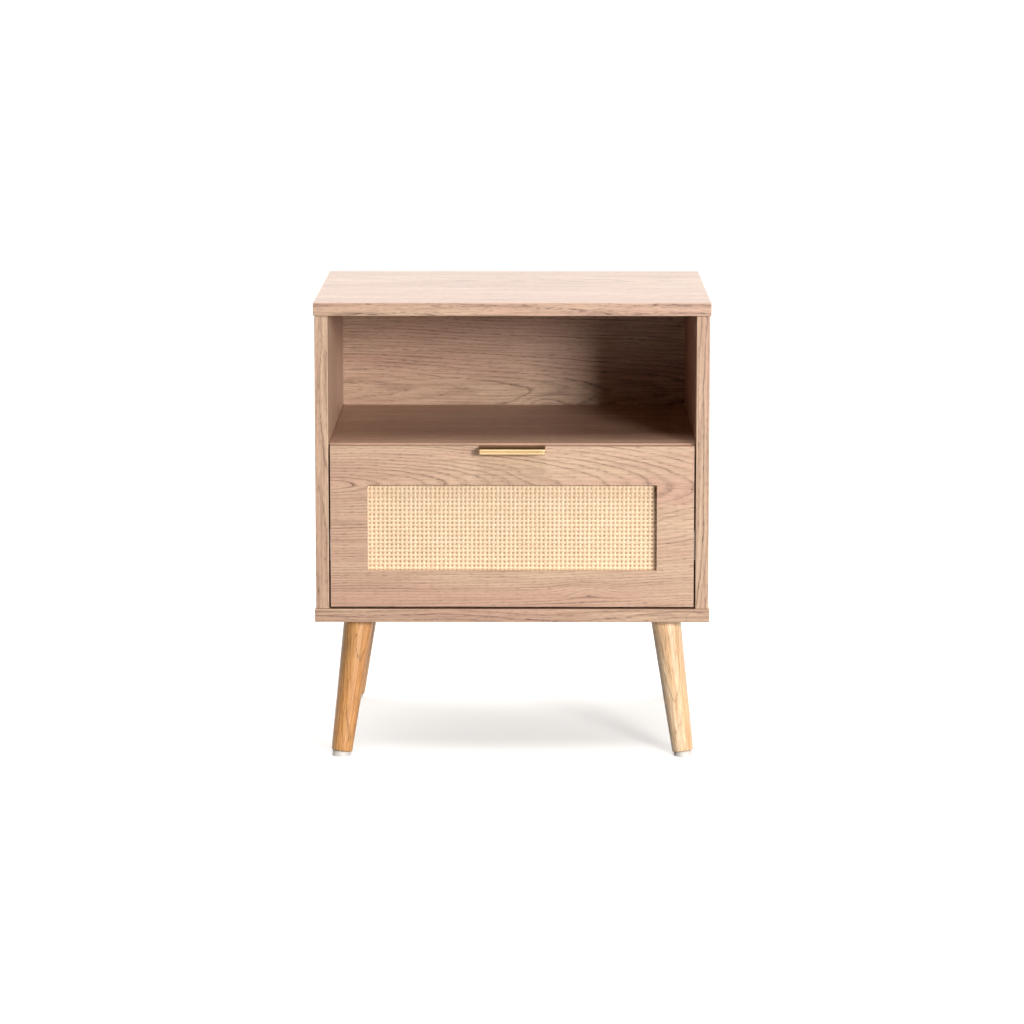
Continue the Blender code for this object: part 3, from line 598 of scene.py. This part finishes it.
class NIGHTSTAND_OT_stage(bpy.types.Operator):
    """Pale floor, soft light and the camera"""
    bl_idname = "nightstand.stage"
    bl_label = "Stage"

    wide_reach = 1.12       # times the lights' distance
    high_reach = 0.86
    light_colour = (1.0, 0.985, 0.965)

    def execute(self, context):
        looks = context.scene.nightstand_stage
        context.scene.view_settings.view_transform = "Standard"
        self.lay_floor(looks)
        self.light_sky(context, looks)
        self.hang_light("key_light", looks.key_side, looks.key_rise, looks.light_distance,
                        (looks.key_width, looks.key_height), looks.key_power)
        self.hang_light("wide_light", looks.wide_side, looks.wide_rise,
                        looks.light_distance * self.wide_reach,
                        (looks.wide_width, looks.wide_height), looks.wide_power)
        self.hang_light("high_light", 0.0, looks.high_rise,
                        looks.light_distance * self.high_reach,
                        (looks.high_size, looks.high_size), looks.high_power)
        self.set_camera(context, looks)
        return {"FINISHED"}

    def lay_floor(self, looks):
        reach = looks.floor_reach
        corners = [(x * reach, y * reach, 0) for x, y in ((-1, -1), (1, -1), (1, 1), (-1, 1))]
        mesh = bpy.data.meshes.new("floor")
        mesh.from_pydata(corners, [], [(0, 1, 2, 3)])
        floor = bpy.data.objects.new("floor", mesh)
        bpy.context.scene.collection.objects.link(floor)
        finish = Finish("floor", 0.8)
        finish.set(Base_Color=(*looks.floor, 1.0), Specular_IOR_Level=0.2,
                   Emission_Color=(*looks.floor, 1.0), Emission_Strength=looks.floor_glow)
        mesh.materials.append(finish.material)
        floor.visible_diffuse = False

    def light_sky(self, context, looks):
        world = bpy.data.worlds.new("studio")
        world.use_nodes = True
        context.scene.world = world
        tree = world.node_tree
        sky = tree.nodes["Background"]
        nodes = Nodes(tree)
        _, rearward, upward = nodes.split(nodes.add("TexCoord", output="Generated"))
        sides = nodes.spread(rearward, 0.0, 0.65, looks.ahead, looks.behind)
        leaned = nodes.maths("MULTIPLY_ADD", rearward, looks.sky_lean, upward)
        upper = nodes.spread(leaned, 0.45, 1.0, sides, looks.overhead)
        tree.links.new(nodes.spread(upward, -0.02, 0.02, looks.below, upper),
                       sky.inputs["Strength"])
        sky.inputs["Color"].default_value = (1.0, 0.995, 0.985, 1.0)

    def hang_light(self, name, side, rise, distance, size, power):
        aim = node_box("drawer_front")[2]
        away = Vector((math.sin(side) * math.cos(rise), -math.cos(side) * math.cos(rise),
                       math.sin(rise)))
        lamp = bpy.data.lights.new(name, "AREA")
        lamp.shape = "RECTANGLE"
        lamp.size, lamp.size_y = size
        lamp.energy = power
        lamp.color = self.light_colour
        thing = bpy.data.objects.new(name, lamp)
        bpy.context.scene.collection.objects.link(thing)
        thing.location = aim + away * distance
        thing.rotation_euler = away.to_track_quat("Z", "Y").to_euler()

    def set_camera(self, context, looks):
        view = bpy.data.cameras.new("camera")
        view.lens = looks.lens
        view.sensor_width = 36.0
        view.clip_end = 300.0
        thing = bpy.data.objects.new("camera", view)
        context.scene.collection.objects.link(thing)
        thing.location = looks.camera_place
        thing.rotation_euler = (looks.camera_tilt, 0.0, looks.camera_turn)
        context.scene.camera = thing


# ---------------------------------------------------------------- boards

# Oak tones times a factor; a factor above 1 gives a lighter copy of the oak, painted light for a
# board that stands in brighter light.
def oak_tones(looks, painted_light_factor=1.0):
    return [shade(colour, painted_light_factor) for colour in (looks.light, looks.middle, looks.dark, looks.line)]


class NIGHTSTAND_OT_case_boards(bpy.types.Operator):
    """Oak finish of the top, bottom, sides, shelf and back"""
    bl_idname = "nightstand.case_boards"
    bl_label = "Case boards"

    def execute(self, context):
        looks = context.scene.nightstand_boards
        tones = oak_tones(looks)
        sawn = (("top_panel", "XYZ", (70.0, 95.0), 0.035, 11.0),
                ("bottom_panel", "XYZ", (-60.0, 80.0), -0.03, 9.0),
                ("shelf_panel", "XYZ", (30.0, 70.0), 0.05, 9.0),
                ("side_panel_left", "ZYX", (60.0, 75.0), 0.03, 9.0),
                ("side_panel_right", "ZYX", (-80.0, 85.0), -0.04, 9.0))
        for seed, (node, order, pith, slope, sway) in enumerate(sawn, 1):
            grain = Grain(order, node, pith=pith, slope=slope, sway=sway, seed=seed)
            lacquer = looks.lacquer if node == "top_panel" else 0.0
            dress(node, wood_finish(node + "_oak", grain, tones, looks.gloss, lacquer=lacquer))
        back = Grain("XZY", "back_panel", pith=(36.0, 48.0), slope=0.05, seed=6.0,
                     knots=((36.0, 22.0, 9.0, 7.0),), banded=False)
        dress("back_panel", wood_finish("back_panel_oak", back, tones, looks.gloss, eased=0.0,
                                        rear=tuple(looks.rear)))
        return {"FINISHED"}


class NIGHTSTAND_OT_drawer_front(bpy.types.Operator):
    """Oak finish of the drawer front, with arches at one end and a knot at the other"""
    bl_idname = "nightstand.drawer_front"
    bl_label = "Drawer front"

    def execute(self, context):
        looks = context.scene.nightstand_boards
        grain = Grain("XZY", "drawer_front", pith=(47.0, 36.0), slope=0.13, spacing=3.3, sway=5.0,
                      seed=7.0, streaky=0.7,
                      knots=((86.0, -72.0, 9.0, 8.0), (20.0, 60.0, 7.0, 3.0)))
        # The drawer front's oak is a lighter copy of the case oak: painted light for the brighter
        # light on the front.
        tones = oak_tones(looks, 1.06)
        dress("drawer_front", wood_finish("drawer_front_oak", grain, tones, looks.gloss))
        return {"FINISHED"}


class NIGHTSTAND_OT_drawer_box(bpy.types.Operator):
    """Plain pale wood of the drawer's sides and back, and its thin bottom"""
    bl_idname = "nightstand.drawer_box"
    bl_label = "Drawer box"

    def execute(self, context):
        looks = context.scene.nightstand_boards
        pale = tuple(looks.box_light)
        tones = [shade(pale, factor) for factor in (1.0, 0.94, 0.84, 0.55)]
        for seed, (node, order) in enumerate((("drawer_side_left", "YZX"),
                                              ("drawer_side_right", "YZX"),
                                              ("drawer_back", "XZY")), 11):
            grain = Grain(order, node, pith=(90.0, 120.0), slope=0.02, spacing=5.0, seed=seed)
            dress(node, wood_finish(node + "_wood", grain, tones, 0.5, line=0.35, pore=0.25))
        dress("drawer_bottom", fibreboard_finish("thin_board", tuple(looks.backing)))
        dress("cane_backing_board", fibreboard_finish("pale_board", tuple(looks.behind_cane)))
        self.add_corner_screws(context)
        return {"FINISHED"}

    def add_corner_screws(self, context):
        zinc = steel(context)
        back_low, back_high, back_middle = node_box("drawer_back")
        for side, sign in SIDES:
            low, high, _ = node_box("drawer_side_" + side)
            face = high.x if sign > 0 else low.x
            heights = [back_low.z + (back_high.z - back_low.z) * share for share in (0.25, 0.75)]
            places = [placed((face, back_middle.y, height), (0, 1, 0), (sign, 0, 0))
                      for height in heights]
            add_heads("drawer_corner_screws_" + side, "drawer", CORNER_SCREW, places, zinc)


# ---------------------------------------------------------------- cane

def add_strand(bm, path, width, thickness, flat_way, thick_way):
    """A flat strand with a crowned face, swept along its path."""
    half = width / 2
    section = ((-half, 0.0), (-half * 0.72, 0.46), (0.0, 0.56), (half * 0.72, 0.46), (half, 0.0),
               (half * 0.72, -0.44), (-half * 0.72, -0.44))
    before = None
    for point in path:
        loop = [bm.verts.new(point + flat_way * x + thick_way * y * thickness) for x, y in section]
        if before is None:
            bm.faces.new(loop)
        else:
            join_loops(bm, before, loop)
        before = loop
    bm.faces.new(before)


class NIGHTSTAND_OT_cane(bpy.types.Operator):
    """Cane woven strand over strand in the drawer front's window"""
    bl_idname = "nightstand.cane"
    bl_label = "Cane"

    first_upright = -0.16518
    first_level = 0.31815
    points_a_crossing = 4
    drift = 0.00010
    waver = 0.00006

    def execute(self, context):
        looks = context.scene.nightstand_cane
        low, high, middle = node_box("cane_sheet")
        draws = random.Random(20)
        edge = looks.strand / 2 + 0.0002
        swing = looks.thickness * 0.54
        depth = middle.y - 0.0001
        start = (self.first_upright, 0, self.first_level)
        pitch = (looks.pitch_across, 0, looks.pitch_up)
        # Each set of strands: where it stands, where it runs, which face it shows, its waves.
        for name, order, across, along, begin, end, face, waves in (
                ("cane_upright", "ZXY", 0, 2, high, low, 1, 90),
                ("cane_level", "XZY", 2, 0, low, high, -1, 70)):
            bm = bmesh.new()
            flat_way = Vector((0, 0, 0))
            flat_way[across] = 1
            count = round((high[along] - low[along]) / pitch[along] * self.points_a_crossing)
            for number, spot in self.spots(low[across] + edge, high[across] - edge, start[across],
                                           pitch[across]):
                path = []
                drift = draws.uniform(-self.drift, self.drift)
                phase = draws.uniform(0, math.tau)
                for step in range(count + 1):
                    run = begin[along] + (end[along] - begin[along]) * step / count
                    turn = math.pi * (run - start[along]) / pitch[along]
                    over = face * math.cos(turn) * (-1) ** number
                    point = Vector((0, depth - swing * over, 0))
                    point[across] = spot + drift + self.waver * math.sin(phase + run * waves)
                    point[along] = run
                    path.append(point)
                add_strand(bm, path, looks.strand * draws.uniform(0.94, 1.03), looks.thickness,
                           flat_way, Vector((0, -1, 0)))
            add_piece(name + "s", finish_mesh(bm, name + "s", 60), "drawer",
                      cane_finish(name, order, looks, pitch[across]), replaces=("cane_sheet",))
        return {"FINISHED"}

    def spots(self, low, high, start, pitch):
        """Middles of the strands between two limits, each with its number from the start."""
        first = math.ceil((low - start) / pitch)
        last = math.floor((high - start) / pitch)
        return [(number, start + number * pitch) for number in range(first, last + 1)]


# ---------------------------------------------------------------- metal and legs

def steel(context):
    """The bright zinc finish, made once."""
    known = bpy.data.materials.get("bright_zinc")
    return known or metal_finish("bright_zinc", tuple(context.scene.nightstand_hardware.zinc), 0.34,
                                 "Y", 0.6)


class NIGHTSTAND_OT_pull(bpy.types.Operator):
    """Brass edge pull with two ridges along its lip, and its two screws"""
    bl_idname = "nightstand.pull"
    bl_label = "Pull"

    top = -0.0002
    plate = 0.0016
    lip = 0.0071
    reach = 0.020
    flange = 0.0268
    easing = 0.0004
    plan_corner = 0.0022
    lower_corner = 0.0013

    def outline(self, board, gap):
        """Side view about the board's top front corner: flange, plate and ridged lip."""
        over = self.top
        under = over - self.plate
        rear = board + gap
        ridge = (over + self.lip - 0.0010) / 4
        front = ridge - self.reach
        points = [(rear, -self.flange), (rear + 0.0012, -self.flange)]
        points += arc((rear + 0.0002, over - 0.0010), 0.0010, 0, 90, 8)
        points += arc((-0.004, over - 0.060), 0.060, 90, 103, 14)
        points += arc((front, over - 0.0008 - ridge), ridge, 112, 250, 18)
        points.append((front + 0.0016, (over - 0.0008 - self.lip) / 2))
        points += arc((front, ridge - self.lip), ridge, 110, 270, 20)
        points += arc((front + 0.0008, 0.0006 - self.lip), 0.0006, -84, 0, 5)
        points += arc((front + 0.0024, under - 0.0022), 0.0010, 180, 96, 6)
        points += [(-0.004, under), (rear, under)]
        return points

    def rounded_by(self, radius, from_end):
        """How far a corner of this radius draws back, at a distance from the end."""
        inside = max(0.0, radius - from_end)
        return radius - math.sqrt(radius ** 2 - inside ** 2)

    def station(self, outline, from_end):
        """The side view at a distance from one end, with its rims and corners rounded."""
        inset = self.rounded_by(self.easing, from_end)
        front = self.rounded_by(self.plan_corner, from_end) - self.reach
        low = self.rounded_by(self.lower_corner, from_end) - self.lip
        points = []
        for number, point in enumerate(outline):
            after = Vector(outline[(number + 1) % len(outline)])
            way = (after - Vector(outline[number - 1])).normalized()
            inner = Vector(point) + Vector((-way.y, way.x)) * inset
            if inner.x < -0.012:
                inner = Vector((max(inner.x, front), max(inner.y, low)))
            points.append(inner)
        return points

    def execute(self, context):
        looks = context.scene.nightstand_hardware
        front_low, front_high, _ = node_box("drawer_front")
        low, high, _ = node_box("pull")
        outline = self.outline(front_high.y - front_low.y, 0.0003)
        half = (high.x - low.x) / 2
        from_end = (0.0, 0.00003, 0.00012, 0.00025, 0.0004, 0.0007, 0.0010, 0.0013, 0.0017, 0.0022,
                    0.0060)
        places = [(-half + away, away) for away in from_end]
        places += [(-x, away) for x, away in reversed(places)]
        bm = bmesh.new()
        loops = [[bm.verts.new((x, front_low.y + point.x, front_high.z + point.y))
                  for point in self.station(outline, away)] for x, away in places]
        for first, second in zip(loops, loops[1:]):
            join_loops(bm, first, second)
        bm.faces.new(loops[0])
        bm.faces.new(loops[-1])
        bmesh.ops.remove_doubles(bm, verts=bm.verts, dist=2e-6)
        add_piece("pull_brass", finish_mesh(bm, "pull_brass", 50), "drawer",
                  metal_finish("satin_brass", tuple(looks.brass), looks.brass_gloss, "X", 0.8, 0.2),
                  replaces=("pull",))
        zinc = steel(context)
        for side, _ in SIDES:
            name = "pull_screw_" + side
            _, far, centre = node_box(name)
            seat = far.y - 0.0022
            place = placed((centre.x, seat, centre.z), (1, 0, 0), (0, 1, 0))
            add_heads(name + "_head", "drawer", PULL_SCREW, [place], zinc, replaces=(name,))
        return {"FINISHED"}


class NIGHTSTAND_OT_legs(bpy.types.Operator):
    """Turned legs with their glides"""
    bl_idname = "nightstand.legs"
    bl_label = "Legs and glides"

    trim = 0.006
    gap = 0.0003
    glide = 0.0050
    rim = 0.0013
    glide_radius = 0.0104
    piths = ((26.0, 12.0), (-34.0, 30.0), (40.0, -18.0), (-20.0, 38.0))
    # The front right leg's tones are made paler, most of all in blue: partly paler wood, partly
    # painted light for the brighter light and broad highlight on that leg.
    paler_and_lit = {"front_right": (1.30, 1.78, 3.0)}

    def execute(self, context):
        looks = context.scene.nightstand_legs
        tones = [tuple(colour) for colour in (looks.light, looks.middle, looks.dark, looks.line)]
        nylon = moulded_finish("nylon_white", tuple(context.scene.nightstand_hardware.nylon), 0.5)
        for number, (where, lean) in enumerate(leg_placements(looks.lean)):
            foot = self.gap + self.glide - lean.translation.z / math.cos(looks.lean)
            grain = Grain("ZXY", pith=self.piths[number], slope=0.05, spacing=2.3, sway=5.0,
                          seed=21.0 + number, banded=False)
            # Each leg's tones; the front right leg's paler tones are partly painted light.
            own = [shade(colour, *self.paler_and_lit.get(where, (1.0,))) for colour in tones]
            wood = wood_finish("leg_wood_" + where, grain, own, 0.36, line=0.6, pore=0.6, eased=0.0)
            add_piece("turned_leg_" + where, self.leg_mesh(looks, lean, foot), "cabinet",
                      wood, lean, ("leg_" + where,))
            add_piece("round_glide_" + where, self.glide_mesh(lean, foot), "cabinet",
                      nylon, lean, ("glide_" + where,))
        return {"FINISHED"}

    def leg_mesh(self, looks, lean, foot):
        """A taper with an eased foot, sawn level where it meets the case."""
        profile = [(0, self.trim), (looks.top_radius, self.trim)]
        for step in range(24):
            share = step / 24
            profile.append((looks.top_radius + (looks.foot_radius - looks.top_radius) * share,
                            foot * share))
        profile += [(looks.foot_radius - self.rim + x, foot + self.rim + z)
                    for x, z in arc((0, 0), self.rim, -3, -90, 6)]
        profile.append((0, foot))
        bm = bmesh.new()
        add_turned(bm, profile, looks.steps)
        self.plane_off(bm, lean, lean.translation.z - self.gap, True)
        return finish_mesh(bm, "turned_leg", 50)

    def glide_mesh(self, lean, foot):
        """A round pad on the leg's axis, planed level where it stands on the floor."""
        radius = self.glide_radius
        low = foot - self.gap - 2 * self.glide
        high = foot - self.gap
        bm = bmesh.new()
        add_turned(bm, [(0, low), (radius, low), (radius, high - 0.0006),
                        (radius - 0.0002, high - 0.0002), (radius - 0.0006, high), (0, high)], 64)
        self.plane_off(bm, lean, 0.0, False)
        return finish_mesh(bm, "round_glide", 40)

    def plane_off(self, bm, lean, height, above):
        """Cut a leaning piece on a level plane and keep what lies under it, or over it."""
        inverse = lean.inverted()
        point = inverse @ Vector((lean.translation.x, lean.translation.y, height))
        cut = bmesh.ops.bisect_plane(bm, geom=bm.verts[:] + bm.edges[:] + bm.faces[:],
                                     plane_co=point,
                                     plane_no=inverse.to_3x3() @ Vector((0, 0, 1)), dist=1e-7,
                                     clear_outer=above, clear_inner=not above)
        edges = [item for item in cut["geom_cut"] if isinstance(item, bmesh.types.BMEdge)]
        bmesh.ops.contextual_create(bm, geom=edges)


def leg_placement(where, sign, y_sign, lean):
    """Where a leg hangs: the middle of its plate's underside, leaning out along the diagonal."""
    plate_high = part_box("leg_plate_" + where)[1]
    plate_middle = node_box("leg_plate_" + where)[2]
    outwards = Vector((sign, y_sign, 0)).normalized()
    upwards = Vector((0, 0, math.cos(lean))) - outwards * math.sin(lean)
    across = outwards.cross(Vector((0, 0, 1)))
    pivot = Vector((plate_middle.x, plate_middle.y, plate_high[2] - LEG_PLATE))
    return placed(pivot, across, upwards)


def leg_placements(lean):
    """The end of each leg's name, with its placement."""
    for end, y_sign in ENDS:
        for side, sign in SIDES:
            where = "%s_%s" % (end, side)
            yield where, leg_placement(where, sign, y_sign, lean)


class NIGHTSTAND_OT_leg_plates(bpy.types.Operator):
    """Steel leg plates let into the case, each with four screws"""
    bl_idname = "nightstand.leg_plates"
    bl_label = "Leg plates"

    side = 0.058
    corner = 0.007
    screw_spot = 0.0215

    def execute(self, context):
        zinc = steel(context)
        middle = self.side / 2 - self.corner
        for where, lean in leg_placements(context.scene.nightstand_legs.lean):
            centre = lean.translation
            outline = []
            for x_way, y_way, start in ((1, 1, 0), (-1, 1, 90), (-1, -1, 180), (1, -1, 270)):
                outline += arc((centre.x + x_way * middle, centre.y + y_way * middle),
                               self.corner, start, start + 90, 8)
            bm = bmesh.new()
            add_slab(bm, outline, centre.z, centre.z + LEG_PLATE, 0.0005)
            add_piece("leg_plate_steel_" + where, finish_mesh(bm, "leg_plate_steel"), "cabinet",
                      zinc, replaces=("leg_plate_" + where,))
            spots = [centre + Vector((x_way, y_way, 0)) * self.screw_spot
                     for x_way in (-1, 1) for y_way in (-1, 1)]
            places = [placed(spot, (1, 0, 0), (0, 0, -1)) for spot in spots]
            add_heads("leg_plate_screws_" + where, "cabinet", PLATE_SCREW, places, zinc)
            dress("leg_bolt_" + where, zinc)
        return {"FINISHED"}


class NIGHTSTAND_OT_runners(bpy.types.Operator):
    """Telescopic runners: their finish, screws and balls"""
    bl_idname = "nightstand.runners"
    bl_label = "Runners"

    def execute(self, context):
        zinc = steel(context)
        for side, sign in SIDES:
            for part in ("case_member", "carriage", "drawer_member"):
                dress("runner_%s_%s" % (part, side), zinc)
            self.add_screws(side, sign, "case_member", "cabinet", zinc)
            self.add_screws(side, sign, "drawer_member", "drawer", zinc)
            self.add_balls(side, zinc)
        return {"FINISHED"}

    def add_screws(self, side, sign, part, body, zinc):
        """Flat heads in the member's web; they face the way the channel opens."""
        low, high, middle = node_box("runner_%s_%s" % (part, side))
        inwards = -sign if part == "case_member" else sign
        face = (low.x if inwards > 0 else high.x) + inwards * SHEET
        places = [placed((face, low.y + (high.y - low.y) * share, middle.z), (0, 1, 0),
                         (inwards, 0, 0)) for share in (0.12, 0.5, 0.86)]
        add_heads("runner_%s_screws_%s" % (part, side), body, RUNNER_SCREW, places, zinc)

    def add_balls(self, side, zinc):
        """A row of balls above the carriage's flanges and one below."""
        low, high, _ = node_box("runner_carriage_" + side)
        bm = bmesh.new()
        across = (low.x + high.x) / 2
        for way in (-1, 1):
            edge = high.z if way > 0 else low.z
            for number in range(12):
                y = low.y + 0.060 + number * 0.014
                place = Matrix.Translation((across, y, edge + way * 0.00075))
                bmesh.ops.create_icosphere(bm, subdivisions=2, radius=0.0007, matrix=place)
        add_piece("runner_balls_" + side, finish_mesh(bm, "runner_balls", 60),
                  "%s_runner_carriage" % side, zinc)


class NIGHTSTAND_OT_case_fittings(bpy.types.Operator):
    """Cam locks, cam bolts and the board screws under the bottom panel"""
    bl_idname = "nightstand.case_fittings"
    bl_label = "Case fittings"

    def execute(self, context):
        zinc = steel(context)
        cast = cast_finish("cast_zinc", tuple(context.scene.nightstand_hardware.cast), 0.42)
        for shelf in ("top", "shelf"):
            for end, _ in ENDS:
                for side, sign in SIDES:
                    name = "%s_%s_%s" % (shelf, end, side)
                    self.make_cam(name, shelf, sign, cast)
                    dress(name + "_bolt", zinc)
        for end, _ in ENDS:
            for side, _ in SIDES:
                name = "board_screw_%s_%s" % (end, side)
                low, _, centre = node_box(name)
                place = placed((centre.x, centre.y, low.z), (1, 0, 0), (0, 0, -1))
                add_heads(name + "_steel", "cabinet", BOARD_SCREW, [place], zinc, replaces=(name,))
        return {"FINISHED"}

    def make_cam(self, name, shelf, sign, cast):
        low, high, centre = node_box(name + "_cam")
        if shelf == "top":
            face = Vector((low.x if sign > 0 else high.x, centre.y, centre.z))
            place = placed(face, (0, 1, 0), (-sign, 0, 0))
        else:
            face = Vector((centre.x, centre.y, low.z))
            place = placed(face, (1, 0, 0), (0, 0, -1))
        add_heads(name + "_cam_cast", "cabinet", CAM, [place], cast, (name + "_cam",))


# ---------------------------------------------------------------- panel and registration

STEPS = ("stage", "case_boards", "drawer_front", "drawer_box", "cane", "pull", "legs", "leg_plates",
         "runners", "case_fittings")


class NIGHTSTAND_PT_panel(bpy.types.Panel):
    """Build steps and settings"""
    bl_idname = "NIGHTSTAND_PT_panel"
    bl_label = "Nightstand"
    bl_space_type = "VIEW_3D"
    bl_region_type = "UI"
    bl_category = "Nightstand"

    def draw(self, context):
        for step in STEPS:
            self.layout.operator("nightstand." + step)
        for group in SETTINGS:
            settings = getattr(context.scene, group)
            box = self.layout.box()
            for name in settings.bl_rna.properties.keys():
                if name not in {"rna_type", "name"}:
                    box.prop(settings, name)


SETTINGS = {
    "nightstand_boards": BoardLooks,
    "nightstand_cane": CaneLooks,
    "nightstand_legs": LegLooks,
    "nightstand_hardware": HardwareLooks,
    "nightstand_stage": StageLooks,
}
CLASSES = (*SETTINGS.values(), NIGHTSTAND_OT_stage, NIGHTSTAND_OT_case_boards,
           NIGHTSTAND_OT_drawer_front, NIGHTSTAND_OT_drawer_box, NIGHTSTAND_OT_cane,
           NIGHTSTAND_OT_pull, NIGHTSTAND_OT_legs, NIGHTSTAND_OT_leg_plates, NIGHTSTAND_OT_runners,
           NIGHTSTAND_OT_case_fittings, NIGHTSTAND_PT_panel)


def register():
    for item in CLASSES:
        bpy.utils.register_class(item)
    for name, group in SETTINGS.items():
        setattr(bpy.types.Scene, name, PointerProperty(type=group))


def unregister():
    for name in SETTINGS:
        delattr(bpy.types.Scene, name)
    for item in reversed(CLASSES):
        bpy.utils.unregister_class(item)


def main():
    register()
    for step in STEPS:
        getattr(bpy.ops.nightstand, step)()


if __name__ == "__main__":
    main()
